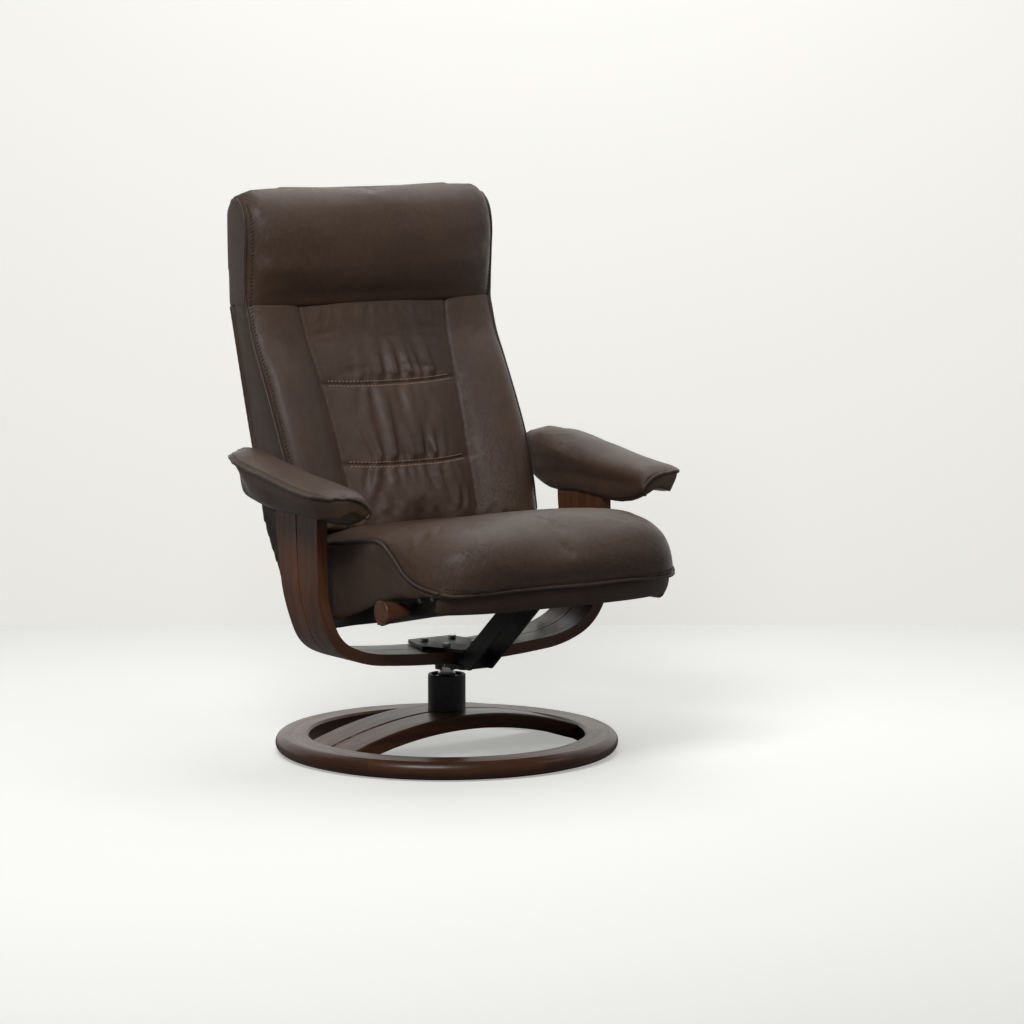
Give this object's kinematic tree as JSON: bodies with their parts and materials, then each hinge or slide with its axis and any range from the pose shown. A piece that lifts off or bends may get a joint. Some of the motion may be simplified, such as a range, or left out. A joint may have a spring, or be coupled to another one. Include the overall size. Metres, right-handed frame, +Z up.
{
  "type": "recliner armchair",
  "caption": "Swivelling leather recliner armchair on a bent-wood ring base, with padded arms, a gliding seat, a tilting headrest and side friction knobs.",
  "frame": {"origin": "where the swivel axis meets the floor, in the plane of the floor strip", "axes": "+X forward, out of the seat; +Y to the sitter's left; +Z up along the swivel axis"},
  "size_m": [0.7217, 0.784, 1.0132],
  "materials": {
    "brown_leather": "satin",
    "walnut": "satin",
    "black_steel": "satin",
    "bright_steel": "satin",
    "black_plastic": "matte",
    "plywood": "matte",
    "black_cloth": "matte"
  },
  "bodies": {
    "base": {"base_ring": "walnut", "base_bow_front": "walnut", "base_bow_rear": "walnut", "floor_strip": "black_plastic", "base_clamp_plate": "black_steel", "column_foot_plate": "black_steel", "column_bolts": "bright_steel", "column_tube": "black_steel", "spindle_bush": "black_plastic", "thrust_washer": "black_plastic"},
    "frame": {"swivel_spindle": "bright_steel", "hub_bracket": "black_steel", "hub_bolts": "bright_steel", "arm_bow_front": "walnut", "arm_bow_rear": "walnut", "arm_screws": "bright_steel", "arm_board_left": "plywood", "arm_board_right": "plywood", "arm_pad_left": "brown_leather", "arm_pad_right": "brown_leather", "back_pivot_left": "bright_steel", "back_pivot_right": "bright_steel", "support_bar_left": "black_steel", "support_bar_right": "black_steel", "slide_block_left": "black_plastic", "slide_block_right": "black_plastic", "guide_cross_tube": "black_steel"},
    "seat": {"seat_side_bar_left": "black_steel", "seat_side_bar_right": "black_steel", "glide_rail_left": "bright_steel", "glide_rail_right": "bright_steel", "rail_screws": "bright_steel", "link_pins": "bright_steel", "seat_cross_bar_front": "black_steel", "seat_cross_bar_rear": "black_steel", "seat_springs": "bright_steel", "seat_dust_cover": "black_cloth", "seat_cushion": "brown_leather"},
    "right_knob": {"knob_right": "walnut", "clamp_spindle_right": "bright_steel"},
    "left_knob": {"knob_left": "walnut", "clamp_spindle_left": "bright_steel"},
    "back": {"rear_cover": "brown_leather", "back_frame": "black_steel", "back_lug_left": "black_steel", "back_lug_right": "black_steel", "back_springs": "bright_steel", "back_cushion": "brown_leather", "headrest_hinge_left": "black_steel", "headrest_hinge_right": "black_steel"},
    "headrest": {"headrest_frame": "black_steel", "headrest_cushion": "brown_leather"}
  },
  "joints": [
    {"name": "swivel", "type": "hinge", "parent": "base", "child": "frame", "pos_m": [0, 0, 0.1], "axis": [0, 0, 1], "continuous": true},
    {"name": "back_recline", "type": "hinge", "parent": "frame", "child": "back", "pos_m": [-0.05, 0, 0.385], "axis": [0, -1, 0], "range_deg": [0, 24]},
    {"name": "seat_glide", "type": "slide", "parent": "frame", "child": "seat", "axis": [0.9781, 0, 0.2079], "range_m": [0, 0.05196]},
    {"name": "headrest_tilt", "type": "hinge", "parent": "back", "child": "headrest", "pos_m": [-0.278, 0, 0.8], "axis": [0, 1, 0], "range_deg": [0, 18]},
    {"name": "right_knob_turn", "type": "hinge", "parent": "seat", "child": "right_knob", "pos_m": [0.24246, -0.29, 0.30576], "axis": [0, -1, 0], "range_deg": [-90, 270]},
    {"name": "left_knob_turn", "type": "hinge", "parent": "seat", "child": "left_knob", "pos_m": [0.24246, 0.29, 0.30576], "axis": [0, 1, 0], "range_deg": [-90, 270]}
  ],
  "couplings": [
    {"joint": "seat_glide", "follows": "back_recline", "m_per_rad": 0.1231}
  ]
}
